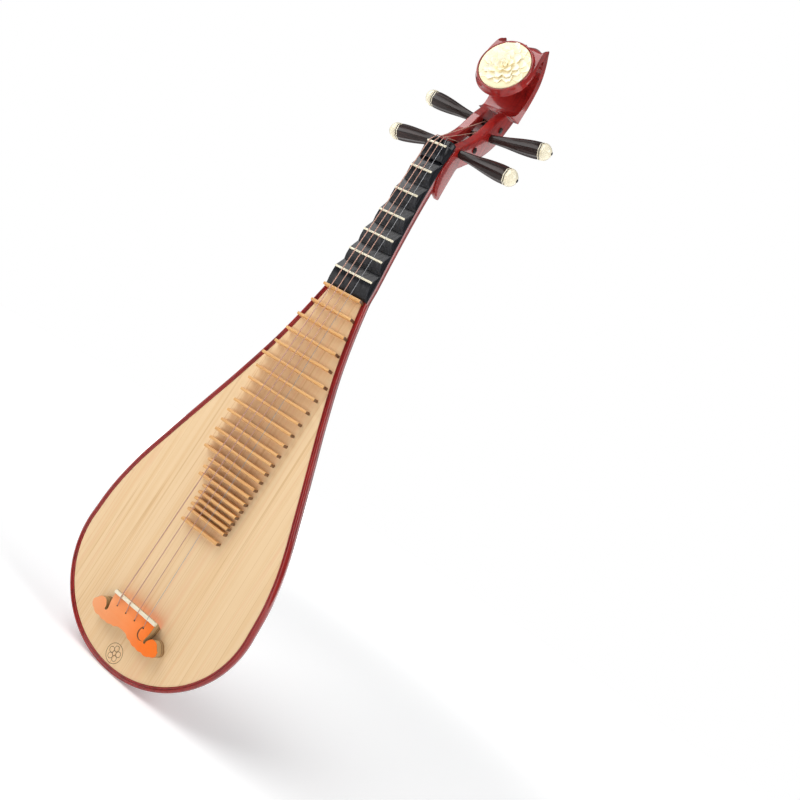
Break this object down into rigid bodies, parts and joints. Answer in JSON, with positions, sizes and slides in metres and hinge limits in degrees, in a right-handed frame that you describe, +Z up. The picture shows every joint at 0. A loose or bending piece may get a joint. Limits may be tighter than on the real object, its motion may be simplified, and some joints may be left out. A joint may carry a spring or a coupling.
{
  "type": "pear-shaped plucked lute",
  "caption": "Pear-shaped four-string lute with a fretted pale soundboard, red lacquered back, curved pegbox with four turning pegs and a scroll head.",
  "frame": {"origin": "middle of the base of the bounding box, under the round bottom of the bowl", "axes": "+Z up along the neck towards the scroll head, the strings face -Y, +X to the viewer's right"},
  "size_m": [0.3, 0.1192, 1.013],
  "materials": {
    "red_lacquered_wood": "deep red gloss lacquer with dark grain",
    "paulownia": "bare pale wood, straight grain, matt",
    "spruce": "bare",
    "bamboo": "satin honey",
    "bridge_bamboo": "satin orange",
    "ebony": "polished near-black",
    "peg_wood": "polished dark brown with fine streaks",
    "bone": "polished bone",
    "carved_bone": "satin carved cream",
    "copper_string": "wound wire",
    "steel_string": "plain wire",
    "gold_ornament": "gold paint"
  },
  "bodies": {
    "instrument": {"back_and_neck": "red_lacquered_wood", "pegbox": "red_lacquered_wood", "head_scroll": "red_lacquered_wood", "soundboard": "paulownia", "upper_brace": "spruce", "lower_brace": "spruce", "bridge": "bridge_bamboo", "bridge_saddle": "bone", "nut_strip": "bone", "nut_block": "ebony", "neck_back_plate": "ebony", "head_flower_inlay": "carved_bone", "neck_block_1": "ebony", "neck_fret_1": "bone", "neck_block_2": "ebony", "neck_fret_2": "bone", "neck_block_3": "ebony", "neck_fret_3": "bone", "neck_block_4": "ebony", "neck_fret_4": "bone", "neck_block_5": "ebony", "neck_fret_5": "bone", "neck_block_6": "ebony", "neck_fret_6": "bone", "string_1": "steel_string", "string_2": "copper_string", "string_3": "copper_string", "string_4": "copper_string", "fret_01": "bamboo", "fret_02": "bamboo", "fret_03": "bamboo", "fret_04": "bamboo", "fret_05": "bamboo", "fret_06": "bamboo", "fret_07": "bamboo", "fret_08": "bamboo", "fret_09": "bamboo", "fret_10": "bamboo", "fret_11": "bamboo", "fret_12": "bamboo", "fret_13": "bamboo", "fret_14": "bamboo", "fret_15": "bamboo", "fret_16": "bamboo", "fret_17": "bamboo", "fret_18": "bamboo", "fret_19": "bamboo", "fret_20": "bamboo", "fret_21": "bamboo", "fret_22": "bamboo", "fret_23": "bamboo", "fret_24": "bamboo"},
    "peg_1": {"peg_1": "peg_wood", "peg_cap_1": "bone"},
    "peg_2": {"peg_2": "peg_wood", "peg_cap_2": "bone"},
    "peg_3": {"peg_3": "peg_wood", "peg_cap_3": "bone"},
    "peg_4": {"peg_4": "peg_wood", "peg_cap_4": "bone"}
  },
  "joints": [
    {"name": "peg_1_turn", "type": "hinge", "parent": "instrument", "child": "peg_1", "pos_m": [0, -0.0244, 0.812], "axis": [0.9986, 0, -0.0523], "continuous": true},
    {"name": "peg_2_turn", "type": "hinge", "parent": "instrument", "child": "peg_2", "pos_m": [0, 0.0036, 0.834], "axis": [-0.9925, 0, -0.1219], "continuous": true},
    {"name": "peg_3_turn", "type": "hinge", "parent": "instrument", "child": "peg_3", "pos_m": [0, 0.0246, 0.869], "axis": [0.9925, 0, 0.1219], "continuous": true},
    {"name": "peg_4_turn", "type": "hinge", "parent": "instrument", "child": "peg_4", "pos_m": [0, 0.0356, 0.896], "axis": [-0.9962, 0, 0.0872], "continuous": true}
  ]
}
